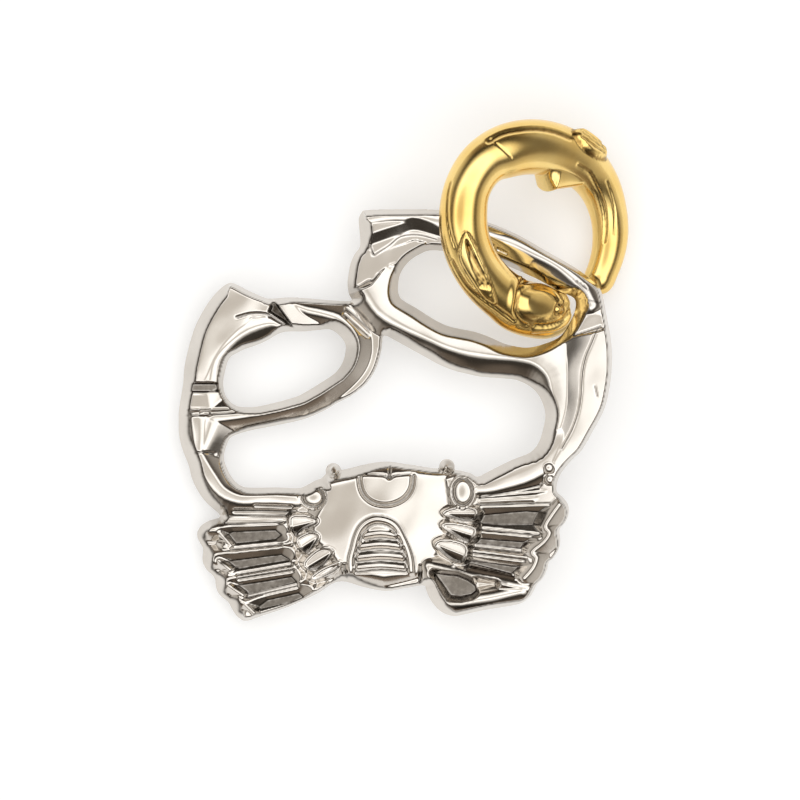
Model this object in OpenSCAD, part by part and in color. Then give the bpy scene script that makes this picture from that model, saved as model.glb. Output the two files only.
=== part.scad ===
// Disentanglement puzzle: a cast metal crab whose two claws close into loops,
// and a loose ring shaped as a curled fish that is linked round one claw.
// The crab is drawn flat on its parting plane (z = 0, belly up) and then leaned
// so that it stands on its back, on the left claw and on the tail of the ring.

/* [Crab casting] */
// Half the thickness of the arms and claws, measured from the parting plane
arm_height = 3.2; // [3.0:0.05:3.25]
// How far each side wall leans inward between the parting plane and the front
wall_draft = 1.3; // [0.8:0.1:1.5]
// Depth of the domed shell below the parting plane
shell_depth = 5.5; // [5.3:0.05:5.7]
// Height of the belly plate above the parting plane
belly_height = 4.1; // [3.7:0.1:4.5]
// Height of the leg crests above the parting plane
leg_height = 3.0; // [2.6:0.1:3.3]
// Depth of the panels sunk between the leg crests
leg_recess = 1.3; // [0.6:0.1:1.8]
// Radius of the knobs where the arms join the body
knob_radius = 1.4; // [1.1:0.1:1.6]
// Radius of the two eyes
eye_radius = 1.15; // [0.9:0.05:1.3]

/* [Fish ring] */
// Radius of the fish's head at the cheeks; the rest of the body keeps its proportion to it
head_radius = 4.1; // [3.8:0.05:4.15]

/* [How it lies] */
// Lean of the crab toward its left claw
lean_side = 5.0; // [4.8:0.1:5.2]
// Lean of the crab from its claws down toward its legs
lean_front = 2.3; // [2.2:0.1:2.4]
// Angle between the ring and the table
ring_lean = 31; // [30.5:0.25:31.5]

/* [Hidden] */
// height of the parting plane over the point of the back that stands on the table
stand = [-2, -20];
stand_height = 5.2;
// centre of the ring in plan, its height, and the way it slopes down
ring_centre = [18.3, 19.9];
ring_rise = 9.0;
ring_downhill = -12;
front = arm_height;
// puts the origin under the middle of the whole object
to_middle = [0.13, -0.165, 0];
silver = [0.82, 0.81, 0.79];
gold = [0.89, 0.72, 0.32];

// ---------- curves and sections ----------

// Catmull-Rom point at t between b and c
function between(a, b, c, d, t) =
    0.5 * (2 * b + (c - a) * t + (2 * a - 5 * b + 4 * c - d) * t * t
           + (3 * b - a - 3 * c + d) * t * t * t);

// the same path with n points in every span, so that few points give a smooth bar
function smooth(p, n) = [
    for (i = [0 : len(p) - 2])
        for (k = [0 : n - 1])
            between(p[max(i - 1, 0)], p[i], p[i + 1], p[min(i + 2, len(p) - 1)], k / n),
    p[len(p) - 1]
];

// outline of a cast bar's section, as [across, up]: widest at the parting plane,
// drafted and rounded to both faces
function section(r, h, b) =
    let (edge = min(wall_draft, r * 0.45), crown = min(edge + 1.1, r * 0.85))
    [
        [r, 0], [r - edge, h * 0.7], [r - (edge + crown) / 2, h * 0.92], [r - crown, h],
        [crown - r, h], [(edge + crown) / 2 - r, h * 0.92], [edge - r, h * 0.7],
        [-r, 0], [edge - r, -b * 0.7], [(edge + crown) / 2 - r, -b * 0.92], [crown - r, -b],
        [r - crown, -b], [r - (edge + crown) / 2, -b * 0.92], [r - edge, -b * 0.7]
    ];

// a closed skin through rings of points that all have the same count
module skin(rings) {
    n = len(rings[0]);
    m = len(rings);
    polyhedron(
        points = [for (g = rings) for (p = g) p],
        faces = concat(
            [[for (k = [0 : n - 1]) k]],
            [for (j = [0 : m - 2]) for (k = [0 : n - 1])
                [j * n + k, (j + 1) * n + k, (j + 1) * n + (k + 1) % n]],
            [for (j = [0 : m - 2]) for (k = [0 : n - 1])
                [j * n + k, (j + 1) * n + (k + 1) % n, j * n + (k + 1) % n]],
            [[for (k = [0 : n - 1]) m * n - 1 - k]]
        )
    );
}

// a bar along points [x, y, half width]
module bar(points, h = front, back = front, n = 3) {
    path = smooth(points, n);
    last = len(path) - 1;
    skin([
        for (i = [0 : last])
            let (
                a = path[max(i - 1, 0)],
                b = path[min(i + 1, last)],
                run = norm([b[0] - a[0], b[1] - a[1]]),
                side = [a[1] - b[1], b[0] - a[0]] / run
            )
            [for (q = section(path[i][2], h, back))
                [path[i][0] + side[0] * q[0], path[i][1] + side[1] * q[0], q[1]]]
    ]);
}

// a round lump with the same draft, for tips and corners
module bead(x, y, r, h, back) {
    edge = min(wall_draft, r * 0.45);
    crown = min(edge + 1.1, r * 0.85);
    translate([x, y, 0]) {
        cylinder(h = h * 0.7, r1 = r, r2 = r - edge, $fn = 16);
        cylinder(h = h, r = r - crown, $fn = 16);
        mirror([0, 0, 1]) cylinder(h = back * 0.7, r1 = r, r2 = r - edge, $fn = 16);
        mirror([0, 0, 1]) cylinder(h = back, r = r - crown, $fn = 16);
    }
}

// a lump of a thick finger's end
module tip(x, y, r) {
    bead(x, y, r, front + 0.1, front - 0.1);
}

// a plate between two heights whose upper edge is drawn in by the bevel
module plate(points, low, high, bevel) {
    hull() {
        translate([0, 0, low]) linear_extrude(high - low - bevel) polygon(points);
        translate([0, 0, low]) linear_extrude(high - low) offset(delta = -bevel) polygon(points);
    }
}

// ---------- crab ----------

module left_claw() {
    // arm, wrist and thick finger
    bar([
        [-14.6, -18.0, 1.8], [-18.5, -18.1, 1.8], [-23.4, -18.1, 2.0],
        [-26.6, -15.7, 2.4], [-28.4, -11.8, 2.7], [-28.7, -7.4, 3.15],
        [-28.5, -3.4, 3.2], [-28.1, 0.6, 2.95], [-26.7, 4.2, 3.1]
    ]);
    hull() {
        tip(-26.8, 4.1, 3.05);
        tip(-25.5, 7.6, 3.4);
        tip(-22.6, 6.7, 3.2);
    }
    hull() {
        tip(-25.5, 7.6, 3.4);
        tip(-24.7, 11.2, 1.3);
        tip(-22.6, 7.7, 3.5);
        tip(-19.2, 8.3, 2.4);
        tip(-17.2, 7.3, 1.6);
    }
    // thin finger that comes back under the arm
    bar([
        [-17.4, 8.0, 2.3], [-12.2, 8.2, 2.15], [-8.6, 7.5, 2.4], [-6.0, 5.6, 2.5],
        [-5.8, 2.6, 2.45], [-7.7, -0.9, 2.1], [-11.9, -3.6, 1.9], [-17.6, -5.8, 1.75],
        [-22.8, -6.7, 1.85], [-27.5, -7.0, 2.6]
    ], front - 0.2, front - 0.15);
}

module right_claw() {
    // arm and palm
    bar([
        [9.6, -16.3, 1.6], [12.5, -15.5, 1.8], [16.4, -13.9, 2.1], [20.1, -11.9, 2.7],
        [22.7, -8.6, 3.5], [24.1, -4.6, 4.1], [25.1, -0.6, 4.15], [25.3, 3.0, 3.9],
        [26.0, 7.4, 2.6], [25.6, 10.7, 2.35], [23.1, 13.1, 2.1], [19.2, 15.2, 2.1],
        [15.1, 17.2, 2.3], [11.1, 18.6, 2.5], [5.0, 19.9, 2.85], [0.0, 21.0, 2.0]
    ]);
    // hooked tip of the upper finger
    hull() {
        tip(0.3, 20.9, 1.95);
        tip(-4.6, 21.0, 1.7);
        tip(-4.2, 18.6, 1.6);
    }
    // lower finger, from the palm round to the lap under the tip
    bar([
        [24.5, 0.2, 3.9], [20.0, 1.1, 2.9], [16.0, 1.3, 2.45], [12.0, 2.2, 2.8],
        [8.0, 3.2, 2.9], [3.9, 4.7, 2.8], [-0.4, 7.0, 2.8], [-4.1, 10.0, 3.2],
        [-4.2, 13.4, 3.55], [-2.3, 16.7, 3.05], [1.0, 18.6, 2.6], [5.2, 19.7, 2.5]
    ], front - 0.2, front - 0.15);
}

// fillets where the fingers spring from the palms
module webs() {
    plate([[-27.0, -6.5], [-22.6, -5.8], [-24.9, -4.6], [-25.7, -1.5], [-27.5, 0.0]], -2.3, 2.5, 0.9);
    plate([[-27.0, -6.8], [-22.6, -7.6], [-25.0, -9.3], [-25.6, -11.6], [-28.0, -11.0]], -2.3, 2.5, 0.9);
    plate([[15.5, -0.6], [21.5, 0.0], [21.6, -6.0], [19.3, -4.0], [18.0, -2.1]], -2.3, 2.5, 0.9);
    plate([[-6.6, 6.2], [-7.4, 9.8], [-4.0, 9.0], [-3.1, 6.2]], -2.3, 2.5, 0.6);
}

module belly() {
    plate([
        [-10.8, -14.6], [-8.0, -13.5], [-2.0, -12.5], [4.0, -13.4], [7.4, -14.0],
        [6.2, -18.4], [5.2, -21.5], [3.9, -26.9], [2.4, -29.8], [-2.7, -30.7],
        [-8.4, -29.4], [-9.7, -25.6], [-12.0, -23.4], [-12.1, -20.4]
    ], -2.2, belly_height, 1.2);
    // rim that ties the plate to the shoulders
    plate([
        [-15.4, -16.3], [-10.0, -13.9], [-2.0, -12.5], [5.0, -13.5], [10.6, -14.6],
        [10.4, -19.5], [7.5, -28.5], [-2.7, -30.6], [-13.0, -28.5], [-15.4, -19.6]
    ], -2.2, 2.2, 1.0);
    // domed shell on the back
    intersection() {
        translate([-2.4, -21.4, 0]) scale([13.0, 8.8, shell_depth]) sphere(1, $fn = 36);
        translate([-30, -40, -10]) cube([60, 60, 10]);
    }
}

// U-shaped mouth and the slit above it
module mouth_cut() {
    translate([-2.2, -14.6, belly_height - 0.5]) {
        rotate([0, 0, 180]) rotate_extrude(angle = 180, $fn = 40) {
            translate([3.0, 0]) polygon([[0, 0], [0.5, 0.7], [-0.5, 0.7]]);
        }
    }
    translate([-2.1, -14.4, belly_height - 0.45]) cube([0.5, 2.2, 2]);
}

// arched apron: a raised frame round a panel of steps
module apron() {
    arch = [
        [-7.3, -27.4], [-6.6, -23.4], [-5.6, -21.2], [-4.2, -20.3], [-2.2, -20.4],
        [-0.6, -21.6], [0.5, -23.8], [1.3, -27.4]
    ];
    difference() {
        translate([0, 0, belly_height - 0.6]) linear_extrude(1.0) polygon(arch);
        translate([0, 0, belly_height - 0.1]) linear_extrude(2) offset(delta = -0.8) polygon(arch);
    }
    for (i = [0 : 3]) {
        half = 2.3 + 0.35 * i;
        translate([-3.0 - half, -22.4 - 1.35 * i, belly_height - 0.5]) {
            rotate([90, 0, 90]) linear_extrude(2 * half) polygon([[-0.5, 0], [0.5, 0], [0.1, 0.75], [-0.3, 0.75]]);
        }
    }
}

// a knob in its collar, where an arm joins the body
module knob(x, y) {
    translate([x, y, front - 0.6]) scale([1, 1.1, 0.9]) sphere(knob_radius, $fn = 20);
    translate([x, y, 0]) cylinder(h = front - 0.3, r1 = 2.35, r2 = 1.95, $fn = 28);
}

module legs_left() {
    plate([
        [-14.5, -18.6], [-25.6, -19.6], [-27.0, -21.6], [-26.4, -25.8], [-24.6, -29.2],
        [-22.6, -32.0], [-12.0, -29.2]
    ], -2.2, leg_recess - 0.15, 0.6);
    rib([-15.5, -20.8, 1.0], [-27.0, -21.0, 0.95], 2.4);
    rib([-15.2, -22.4, 1.7], [-27.2, -23.0, 2.1], leg_height);
    rib([-14.8, -24.8, 1.8], [-26.5, -26.3, 2.1], leg_height);
    rib([-14.0, -27.4, 1.8], [-24.9, -29.6, 1.9], leg_height);
    rib([-12.6, -29.4, 1.4], [-23.0, -33.0, 1.95], leg_height);
}

module legs_right() {
    plate([
        [8.0, -16.6], [20.6, -13.4], [21.4, -16.6], [20.8, -19.6], [19.6, -24.0],
        [18.2, -27.8], [6.0, -27.6]
    ], -2.2, leg_recess - 0.15, 0.6);
    rib([9.5, -17.9, 0.9], [20.6, -17.4, 0.9], 2.4);
    rib([9.5, -20.2, 1.6], [20.9, -19.5, 2.1], leg_height);
    rib([9.0, -23.0, 1.6], [19.8, -24.0, 2.0], leg_height);
    rib([8.6, -26.0, 1.6], [18.2, -27.7, 1.9], leg_height);
    // rear leg: three bars round a sunk triangle
    rib([3.8, -27.0, 1.2], [16.6, -29.7, 1.4], leg_height + 0.05);
    rib([4.2, -27.4, 1.2], [6.6, -32.0, 1.7], leg_height);
    rib([6.9, -32.1, 1.9], [16.2, -30.7, 1.5], leg_height - 0.1);
    plate([[3.7, -26.7], [17.0, -28.9], [15.7, -31.2], [6.7, -33.0]], -2.0, 1.0, 0.4);
}

// one leg, thick and rounded at its tip
module rib(a, b, h) {
    hull() {
        bead(a[0], a[1], a[2], h, 2.4);
        bead(b[0], b[1], b[2], h * 0.92, 2.4);
    }
}

// sunk panel along a leg
module panel(a, b, w) {
    hull() {
        translate([a[0], a[1], leg_recess]) cylinder(h = 4, r1 = w * 0.7, r2 = w * 1.6, $fn = 16);
        translate([b[0], b[1], leg_recess]) cylinder(h = 4, r1 = w, r2 = w * 2.0, $fn = 16);
    }
}

// raised leaf at the root of a leg
module leaf(a, b) {
    hull() {
        bead(a[0], a[1], 1.1, 3.6, 1.0);
        bead(b[0], b[1], 0.5, 3.9, 1.0);
    }
}

module leg_panels() {
    panel([-17.4, -22.6], [-25.2, -22.9], 0.45);
    panel([-16.8, -25.6], [-25.0, -26.6], 0.45);
    panel([-15.6, -28.5], [-23.2, -30.2], 0.45);
    panel([-14.6, -30.2], [-21.0, -32.5], 0.4);
    panel([10.4, -20.4], [19.2, -20.0], 0.45);
    panel([10.2, -23.6], [17.6, -24.2], 0.4);
    panel([9.2, -26.6], [16.2, -27.6], 0.4);
}

module leaves() {
    leaf([-15.8, -21.9], [-12.6, -21.1]);
    leaf([-15.2, -24.2], [-12.5, -23.4]);
    leaf([-14.2, -26.4], [-10.4, -25.7]);
    leaf([-12.9, -28.6], [-9.4, -27.8]);
    leaf([8.6, -20.4], [6.2, -19.6]);
    leaf([8.6, -22.8], [5.7, -21.4]);
    leaf([7.8, -25.4], [4.9, -24.2]);
}

// flats and slots that mark the wrists and the laps of the fingers
module claw_cuts() {
    // slot and flat across the left wrist
    translate([-33, -2.5, front - 0.7]) cube([8.4, 1.0, 2]);
    translate([-33, -4.9, front - 0.45]) cube([8.6, 2.4, 2]);
    // flat of the thin left finger beside the end of the thick one
    translate([-15.1, 6.3, front - 0.8]) rotate([0, 0, -33]) cube([5.0, 5.0, 2]);
    // flat at the root of the upper right finger
    translate([22.2, 4.6, front - 1.2]) rotate([0, 0, 17]) cube([7.5, 4.6, 3]);
    // flat of the lower right finger beside the hooked tip
    translate([-4.9, 12.6, front - 0.8]) rotate([0, 0, 38]) cube([7.4, 3.0, 2]);
}

module crab_flat() {
    difference() {
        union() {
            left_claw();
            right_claw();
            webs();
            belly();
            legs_left();
            legs_right();
        }
        leg_panels();
        claw_cuts();
        mouth_cut();
    }
    apron();
    leaves();
    knob(-12.8, -17.6);
    knob(8.1, -16.5);
    for (p = [[-10.0, -13.9], [6.0, -13.3]]) {
        translate([p[0], p[1], -0.4]) sphere(eye_radius, $fn = 16);
    }
}

module crab() {
    color(silver) {
        translate(to_middle) difference() {
            translate([stand[0], stand[1], stand_height]) {
                rotate([lean_front, -lean_side, 0]) translate([-stand[0], -stand[1], 0]) crab_flat();
            }
            // the flat that it stands on
            translate([-40, -50, -10]) cube([80, 90, 10]);
        }
    }
}

// ---------- fish ring ----------

// The fish seen from above, from the snout round to the tail:
// [angle round the ring, distance from its centre, radius of the body]
FISH = [
    [-69.5, 12.1, 0.36], [-73, 12.0, 0.72], [-81, 11.6, 0.91], [-91, 11.2, 0.95],
    [-103, 10.85, 0.93], [-118, 10.2, 0.86], [-140, 9.85, 0.84], [-165, 9.9, 0.83],
    [-190, 10.35, 0.82], [-212, 11.15, 0.79], [-232, 11.7, 0.82], [-250, 11.6, 0.92],
    [-275, 11.5, 0.94], [-300, 11.35, 0.88], [-320, 11.1, 0.76], [-343, 10.75, 0.66],
    [-367, 10.75, 0.61], [-388, 11.05, 0.55], [-401, 11.55, 0.54], [-407, 11.8, 0.46]
];

// centre line in the ring's own plane: x runs downhill, and is stretched because
// the ring leans
function centre(a, d) =
    [d * cos(a - ring_downhill) / cos(ring_lean), d * sin(a - ring_downhill)];

module fish_body() {
    path = smooth(FISH, 4);
    last = len(path) - 1;
    sides = 20;
    skin([
        for (i = [0 : last])
            let (
                b = path[max(i - 1, 0)],
                c = path[i],
                d = path[min(i + 1, last)],
                at = centre(c[0], c[1]),
                run = centre(d[0], d[1]) - centre(b[0], b[1]),
                out = [-run[1], run[0]] / norm(run),
                r = c[2] * head_radius
            )
            [for (k = [0 : sides - 1])
                let (t = 360 * k / sides)
                [at[0] + out[0] * r * cos(t), at[1] + out[1] * r * cos(t), r * sin(t)]]
    ]);
}

// one rib of a fin, laid along the ring between two angles at a distance from its centre
module fin_rib(a, b, d, up, thick) {
    from = centre(a, d);
    to = centre(b, d);
    hull() {
        translate([from[0], from[1], up]) sphere(thick, $fn = 10);
        translate([to[0], to[1], up]) sphere(thick, $fn = 10);
    }
}

module fish_flat() {
    fish_body();
    // back fin: three stripes on the outside
    for (i = [0 : 2]) {
        fin_rib(-292 - i, -304 - i, 14.15 - 0.75 * i, 1.6 + 0.55 * i, 0.7);
    }
    // small fin on the inside
    for (i = [-1 : 1]) {
        fin_rib(-283 + 5 * i, -286 + 5 * i, 6.9 + 0.5 * abs(i), 0.1, 0.9);
    }
    // ribbed fin on the side, behind the head
    for (i = [0 : 2]) {
        fin_rib(-136 - 6 * i, -166 + 5 * i, 11.9 - 1.0 * i, 2.05 + 0.5 * i, 0.75);
    }
}

module fish_ring() {
    color(gold) {
        translate(to_middle + [ring_centre[0], ring_centre[1], ring_rise]) {
            rotate([0, 0, ring_downhill]) rotate([0, ring_lean, 0]) fish_flat();
        }
    }
}

crab();
fish_ring();
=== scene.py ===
"""Looks for the disentanglement puzzle: a cast metal crab and the fish ring linked through its claw.

Both castings are built in millimetres in the same plan as the CAD part, then laid in the frame.
The crab is a relief on each side of its parting plane. The fish is a body swept round the ring.
"""

import math

import bpy
import numpy as np
from mathutils import Matrix, Vector


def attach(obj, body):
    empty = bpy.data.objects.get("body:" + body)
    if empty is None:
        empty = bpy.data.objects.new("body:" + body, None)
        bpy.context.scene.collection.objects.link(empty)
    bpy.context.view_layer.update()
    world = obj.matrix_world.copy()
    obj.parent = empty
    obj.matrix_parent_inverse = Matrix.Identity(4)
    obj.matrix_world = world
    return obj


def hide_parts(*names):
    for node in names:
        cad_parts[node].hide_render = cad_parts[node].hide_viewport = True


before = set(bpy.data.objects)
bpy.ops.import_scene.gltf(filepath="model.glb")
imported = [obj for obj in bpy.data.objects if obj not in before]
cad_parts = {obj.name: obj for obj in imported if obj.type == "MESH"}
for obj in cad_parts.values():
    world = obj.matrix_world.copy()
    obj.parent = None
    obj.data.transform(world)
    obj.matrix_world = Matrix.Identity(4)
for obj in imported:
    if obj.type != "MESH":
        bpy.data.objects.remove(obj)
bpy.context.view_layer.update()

MM = 0.001

# how the castings lie, as in the CAD part (mm and degrees)
TO_MIDDLE = (0.13, -0.165, 0.0)
STAND = (-2.0, -20.0, 5.2)
LEAN_SIDE = 5.0
LEAN_FRONT = 2.3
RING_CENTRE = (18.3, 19.9, 9.0)
RING_LEAN = 31.0
RING_DOWNHILL = -12.0
HEAD_RADIUS = 4.1

# crab casting (mm)
STEP = 0.156
EDGE_RISE = 2.6
WALL_WIDTH = 1.4
WALL_BASE = 0.6
WALL_TURN = (0.65, 0.12)
WALL_LEAST = 0.3
RIGHT_LOOP_WALL = 0.8
SHOULDER = 0.32
# darkness and width (mm) of the painted shade line along the shoulder where the side wall meets the face
CREASE_DARK = 0.95
CREASE_WIDTH = 0.3
PLATE_TOP = 3.95
LEG_FLOOR = 1.4
# painted shade on the floors of the sunk panels between the leg crests
FLOOR_DARK = 0.68
BELLY_CENTRE = (-9.0, -17.5)
BELLY_CROWN = 0.0075
RIPPLE = 0.05
BACK_RISE = 3.1
BACK_LEG_RISE = 2.4
BACK_EDGE_RISE = 3.0
BACK_SHOULDER = 0.6
MAIN_LEG = 2.7
LEAST_HEIGHT = 0.02
EYE_SLOPE = 1.9
KNOB_TOP = 2.95
PETAL_TOP = 3.3
PETAL_SLOPES = (0.2, 0.6)
APRON_MIDDLE = -3.1
SHELL = (-2.4, -21.4, 13.0, 8.8, 5.5)

# ---------- crab outlines, in plan on the parting plane (mm) ----------

OUTER = [
    (-31.9, -7), (-31.8, -5), (-31.2, -1.5), (-31, 1), (-30, 5), (-29, 7.5), (-27.5, 10),
    (-26, 11.7), (-24.9, 12.5), (-24, 12.6), (-22, 11.6), (-20, 10.7), (-18.8, 10.4),
    (-16, 10.6), (-13, 10.4), (-10, 10.15), (-7.4, 10.1), (-7.7, 11), (-7.9, 12.3),
    (-7.8, 13.5), (-7.5, 15.2), (-6.9, 16.6), (-6.1, 17.8), (-6.2, 20), (-6.3, 21.5),
    (-5.9, 22.4), (-5.2, 22.8), (-1, 22.9), (5, 22.8), (8.5, 22.1), (12, 21), (16, 19.3),
    (20, 17), (24, 14.7), (26, 13.2), (27.4, 11.9), (28, 10.3), (28.5, 7.6), (29, 5),
    (29.2, 2), (29, -1), (28.4, -4.2), (27.6, -6.2), (26.6, -8), (25, -10.8), (23.5, -12.3),
    (22.3, -13.7), (21.6, -15), (21.4, -16.6), (22.3, -17.5), (23, -18.5), (23.1, -19.7),
    (22.6, -21), (21.8, -22), (21.9, -23.5), (21.7, -24.7), (21, -25.9), (20.3, -26.6),
    (20, -27.7), (19.4, -28.9), (18.6, -29.7), (18.2, -30.5), (17.6, -31.5), (16.5, -32.3),
    (15, -32.7), (12, -33.2), (10, -33.6), (8, -34.05), (7, -34.2), (6, -34), (5, -33.5),
    (4.2, -32.7), (3.5, -31.7), (3, -30.5), (2.6, -29.9), (0, -30.3), (-2.7, -30.7),
    (-6, -30.1), (-8.3, -29.4), (-10, -29.6), (-12, -30.9), (-14, -31.9), (-17, -33.2),
    (-20, -34.2), (-22.3, -35), (-23.3, -34.7), (-24, -34), (-24.6, -33), (-25, -32.3),
    (-26.2, -31.3), (-26.7, -30.2), (-26.8, -29.2), (-27.2, -28.5), (-28, -27.8),
    (-28.6, -26.5), (-28.5, -24.8), (-29.2, -23.5), (-29.3, -22.5), (-28.7, -21.5),
    (-27.5, -20.8), (-26, -20.2), (-27.8, -18.5), (-29, -17), (-30, -15), (-30.5, -13),
    (-31.3, -11), (-31.8, -9),
]
LEFT_LOOP = [
    (-25.5, -2), (-25.5, -1), (-25.3, 0), (-25, 1.2), (-24.5, 2.2), (-23.5, 2.8),
    (-22.5, 3.3), (-21, 3.8), (-20, 4.2), (-19, 4.7), (-18, 5.3), (-17, 5.7), (-16, 5.8),
    (-14, 5.8), (-12, 6), (-10.5, 6.1), (-9.5, 5.6), (-8.7, 4.8), (-8.2, 3.8), (-8.3, 2.5),
    (-8.7, 1.3), (-9.3, .4), (-10, -.3), (-12, -1.6), (-13.5, -2.5), (-15, -3.3),
    (-17, -3.9), (-19, -4.4), (-21, -4.8), (-23, -4.8), (-24, -4.5), (-24.8, -3.8),
    (-25.3, -3),
]
RIGHT_LOOP = [
    (-.2, 10.2), (2, 8.9), (4, 7.6), (6, 6.6), (8, 6.1), (10, 5.7), (12, 5), (14, 4.1),
    (16, 3.6), (17.5, 3.5), (19, 3.8), (21, 4.5), (22.3, 5.4), (23.4, 7.2), (24.1, 9),
    (23.9, 10.4), (22.2, 11.2), (20, 12.4), (18.2, 13.35), (14.1, 15.1), (10.2, 16.3),
    (7, 16.9), (5, 17.1), (3.5, 17.1), (2.3, 16.6), (1, 15.8), (0, 14.7), (-.6, 13.5),
    (-.8, 12), (-.7, 11),
]
MIDDLE_LOOP = [
    (-24.3, -9), (-25, -10), (-25.45, -11.5), (-25.4, -12.5), (-25, -13.6), (-24.4, -14.7),
    (-23.6, -15.6), (-22.6, -16.1), (-21, -16.2), (-18, -16.15), (-15.2, -16.25),
    (-14.2, -16.05), (-12.6, -15.2), (-11.6, -14.8), (-10.8, -14.1), (-8, -13.5),
    (-6, -13), (-4, -12.6), (-2, -12.5), (0, -12.8), (1.5, -13), (4, -13.4), (7, -13.6),
    (9.3, -14.1), (10.3, -14.6), (12, -13.8), (15, -12.3), (17.7, -11.2), (18.9, -9.8),
    (19.5, -8), (19.85, -6), (19.5, -4.4), (18.8, -3), (17.8, -2), (16.5, -1.3),
    (15, -.9), (11, -.6), (9, -.2), (7, .3), (5, 1.1), (3, 2.2), (1, 3.3), (-1, 4.4),
    (-2.8, 5.2), (-3.1, 3.5), (-3.5, 1.8), (-4.1, .2), (-5, -1.2), (-6, -2.2),
    (-7.5, -3.3), (-9.5, -4.3), (-11, -5.2), (-14, -6.5), (-18, -7.4), (-22, -8.2),
]
# [x, y, radius] of each eye, and [x, y, half width, half height] of each knob
EYES = [(-10.0, -13.8, 1.1), (6.0, -13.2, 1.1)]
KNOBS = [(-12.6, -17.4, 1.3, 1.1), (8.4, -16.6, 1.25, 1.6)]

# ---------- curves, distances and blends ----------


def smooth(points, spans=3, closed=False):
    """Catmull-Rom curve through rows of numbers, with that many steps in each span."""
    rows = np.asarray(points, float)
    count = len(rows)

    def row(i):
        return rows[i % count] if closed else rows[min(max(i, 0), count - 1)]

    out = []
    for i in range(count if closed else count - 1):
        a, b, c, d = (row(i + k) for k in (-1, 0, 1, 2))
        for k in range(spans):
            t = k / spans
            out.append(0.5 * (2 * b + (c - a) * t + (2 * a - 5 * b + 4 * c - d) * t * t
                              + (3 * b - a - 3 * c + d) * t ** 3))
    if not closed:
        out.append(rows[-1])
    return np.array(out)


def near(x, y, path, reach):
    """Distance to the path, capped at reach, the side (+1 left), and the path's further columns."""
    path = np.asarray(path, float)
    dist = np.full(len(x), float(reach))
    side = np.zeros(len(x))
    more = np.zeros((len(x), path.shape[1] - 2))
    for a, b in zip(path[:-1], path[1:]):
        low = np.minimum(a[:2], b[:2]) - reach
        high = np.maximum(a[:2], b[:2]) + reach
        pick = np.flatnonzero((x > low[0]) & (x < high[0]) & (y > low[1]) & (y < high[1]))
        if not len(pick):
            continue
        run = b[:2] - a[:2]
        px, py = x[pick] - a[0], y[pick] - a[1]
        t = np.clip((px * run[0] + py * run[1]) / max(run @ run, 1e-12), 0, 1)
        ox, oy = px - t * run[0], py - t * run[1]
        d = np.hypot(ox, oy)
        won = d < dist[pick]
        pick = pick[won]
        dist[pick] = d[won]
        side[pick] = np.sign(run[0] * oy[won] - run[1] * ox[won])
        more[pick] = a[2:] + t[won, None] * (b[2:] - a[2:])
    return dist, side, more


def inside(x, y, loop):
    """True for the points inside the loop."""
    flag = np.zeros(len(x), bool)
    pick = np.flatnonzero((x > loop[:, 0].min()) & (x < loop[:, 0].max())
                          & (y > loop[:, 1].min()) & (y < loop[:, 1].max()))
    px, py, hit = x[pick], y[pick], np.zeros(len(pick), bool)
    for a, b in zip(loop, np.roll(loop, -1, axis=0)):
        if a[1] != b[1]:
            at = (b[0] - a[0]) * (py - a[1]) / (b[1] - a[1]) + a[0]
            hit ^= ((a[1] > py) != (b[1] > py)) & (px < at)
    flag[pick] = hit
    return flag


def depth(x, y, loop, reach):
    """Distance to the loop, positive inside and negative outside, capped at reach."""
    closed = np.vstack([loop, loop[:1]])
    dist = near(x, y, closed[:, :2], reach)[0]
    return np.where(inside(x, y, loop[:, :2]), dist, -dist)


def lower_of(a, b, blend):
    """The lower of two heights, with a rounded corner between them."""
    t = np.clip(0.5 + 0.5 * (b - a) / blend, 0, 1)
    return b + (a - b) * t - blend * t * (1 - t)


def hinge_drop(over, soft):
    """0 before the corner at over = 0 and over after it, rounded."""
    return 0.5 * (over + np.sqrt(over * over + soft * soft))


def hump(t):
    """1 at t = 0, falling smoothly to 0 at t = 1."""
    return np.square(np.clip(1 - t * t, 0, 1))


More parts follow.
